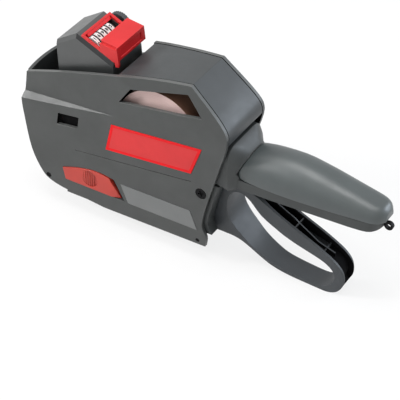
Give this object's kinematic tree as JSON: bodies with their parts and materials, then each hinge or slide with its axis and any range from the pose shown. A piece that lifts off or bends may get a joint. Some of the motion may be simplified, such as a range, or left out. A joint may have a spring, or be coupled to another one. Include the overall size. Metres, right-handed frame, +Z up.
{
  "type": "price labeling gun",
  "caption": "Hand-held price labeling gun: finger-loop trigger swings a band print head down on a label web fed from a roll inside.",
  "frame": {"origin": "under the middle of the gun's length and width, level with the lowest point of the finger loop", "axes": "-X towards the nose where labels come out, +X along the handle, +Z up; the near side of the picture is -Y"},
  "size_m": [0.2675, 0.0485, 0.1404],
  "materials": {
    "shell_grey": "satin",
    "frame_grey": "satin",
    "cover_grey": "satin",
    "grip_grey": "satin",
    "head_grey": "satin",
    "red": "gloss",
    "stripe_grey": "satin",
    "steel": "brushed",
    "black_plastic": "satin",
    "wheel_white": "satin",
    "band_rubber": "matt",
    "roller_rubber": "matt",
    "ink_felt": "matt",
    "card": "matt",
    "label_paper": "matt"
  },
  "bodies": {
    "housing": {"left_shell": "shell_grey", "right_shell": "shell_grey", "badge_plate": "red", "stripe_plate": "stripe_grey", "nose_cover": "shell_grey", "cover_pin": "steel", "handle_frame": "frame_grey", "hanging_eye": "steel", "grip_cover": "grip_grey", "pivot_pin": "steel", "pivot_screws": "steel", "return_spring": "steel", "ink_axle": "steel", "feed_axle": "steel", "applicator_axle": "steel", "base_hinge_pin": "steel", "label_web": "label_paper"},
    "roll_cover": {"roll_cover": "cover_grey"},
    "trigger": {"trigger": "frame_grey"},
    "print_head": {"head_arms": "steel", "arm_rods": "steel", "head_frame": "black_plastic", "head_cover": "head_grey", "bezel": "red", "wheel_tube": "steel", "type_band_1": "band_rubber", "type_band_2": "band_rubber", "type_band_3": "band_rubber", "type_band_4": "band_rubber", "type_band_5": "band_rubber"},
    "setting_shaft": {"setting_shaft": "steel"},
    "setting_knob": {"setting_knob": "black_plastic"},
    "ink_arm": {"ink_holder": "black_plastic"},
    "ink_roller": {"ink_roller": "ink_felt"},
    "label_roll": {"roll_core": "card", "label_roll": "label_paper"},
    "feed_drum": {"feed_drum": "black_plastic", "ratchet_wheel": "steel"},
    "base": {"base_cover": "shell_grey", "platen": "steel", "peel_plate": "steel", "press_axle": "steel", "label_strip": "label_paper"},
    "press_roller": {"press_roller": "roller_rubber"},
    "applicator_roller": {"applicator_roller": "roller_rubber"},
    "latch": {"latch_button": "red", "latch_slide": "black_plastic"},
    "number_wheel_1": {"number_wheel_1": "wheel_white"},
    "number_wheel_2": {"number_wheel_2": "wheel_white"},
    "number_wheel_3": {"number_wheel_3": "wheel_white"},
    "number_wheel_4": {"number_wheel_4": "wheel_white"},
    "number_wheel_5": {"number_wheel_5": "wheel_white"}
  },
  "joints": [
    {"name": "trigger_squeeze", "type": "hinge", "parent": "housing", "child": "trigger", "pos_m": [0.00915, 0, 0.056], "axis": [0, -1, 0], "range_deg": [0, 20], "stiffness_Nm_per_rad": 1.5, "springref_deg": -20.05},
    {"name": "head_swing", "type": "hinge", "parent": "housing", "child": "print_head", "pos_m": [0.00915, 0, 0.056], "axis": [0, -1, 0], "range_deg": [0, 14.4]},
    {"name": "cover_open", "type": "hinge", "parent": "housing", "child": "roll_cover", "pos_m": [0.02315, 0, 0.101], "axis": [0, 1, 0], "range_deg": [0, 95]},
    {"name": "base_open", "type": "hinge", "parent": "housing", "child": "base", "pos_m": [0.00665, 0, 0.016], "axis": [0, -1, 0], "range_deg": [0, 75]},
    {"name": "latch_slide", "type": "slide", "parent": "housing", "child": "latch", "axis": [1, 0, 0], "range_m": [0, 0.0035], "stiffness_N_per_m": 300, "springref_m": -0.002},
    {"name": "knob_select", "type": "slide", "parent": "print_head", "child": "setting_shaft", "axis": [0, 1, 0], "range_m": [0, 0.0176]},
    {"name": "knob_turn", "type": "hinge", "parent": "setting_shaft", "child": "setting_knob", "pos_m": [-0.08175, 0, 0.12911], "axis": [0, 1, 0], "continuous": true},
    {"name": "ink_swing", "type": "hinge", "parent": "housing", "child": "ink_arm", "pos_m": [-0.11875, 0, 0.064], "axis": [0, 1, 0], "range_deg": [0, 18], "stiffness_Nm_per_rad": 0.03, "springref_deg": -20.05},
    {"name": "ink_spin", "type": "hinge", "parent": "ink_arm", "child": "ink_roller", "pos_m": [-0.11205, 0, 0.044], "axis": [0, 1, 0], "continuous": true},
    {"name": "roll_spin", "type": "hinge", "parent": "housing", "child": "label_roll", "pos_m": [-0.02605, 0, 0.088], "axis": [0, 1, 0], "continuous": true},
    {"name": "feed_spin", "type": "hinge", "parent": "housing", "child": "feed_drum", "pos_m": [-0.04725, 0, 0.036], "axis": [0, 1, 0], "continuous": true},
    {"name": "press_spin", "type": "hinge", "parent": "base", "child": "press_roller", "pos_m": [-0.04725, 0, 0.01845], "axis": [0, 1, 0], "continuous": true},
    {"name": "applicator_spin", "type": "hinge", "parent": "housing", "child": "applicator_roller", "pos_m": [-0.11285, 0, 0.0218], "axis": [0, 1, 0], "continuous": true},
    {"name": "wheel_1_turn", "type": "hinge", "parent": "print_head", "child": "number_wheel_1", "pos_m": [-0.08175, 0, 0.12911], "axis": [0, 1, 0], "continuous": true},
    {"name": "wheel_2_turn", "type": "hinge", "parent": "print_head", "child": "number_wheel_2", "pos_m": [-0.08175, 0, 0.12911], "axis": [0, 1, 0], "continuous": true},
    {"name": "wheel_3_turn", "type": "hinge", "parent": "print_head", "child": "number_wheel_3", "pos_m": [-0.08175, 0, 0.12911], "axis": [0, 1, 0], "continuous": true},
    {"name": "wheel_4_turn", "type": "hinge", "parent": "print_head", "child": "number_wheel_4", "pos_m": [-0.08175, 0, 0.12911], "axis": [0, 1, 0], "continuous": true},
    {"name": "wheel_5_turn", "type": "hinge", "parent": "print_head", "child": "number_wheel_5", "pos_m": [-0.08175, 0, 0.12911], "axis": [0, 1, 0], "continuous": true}
  ],
  "couplings": [
    {"joint": "head_swing", "follows": "trigger_squeeze", "ratio": 0.72}
  ]
}
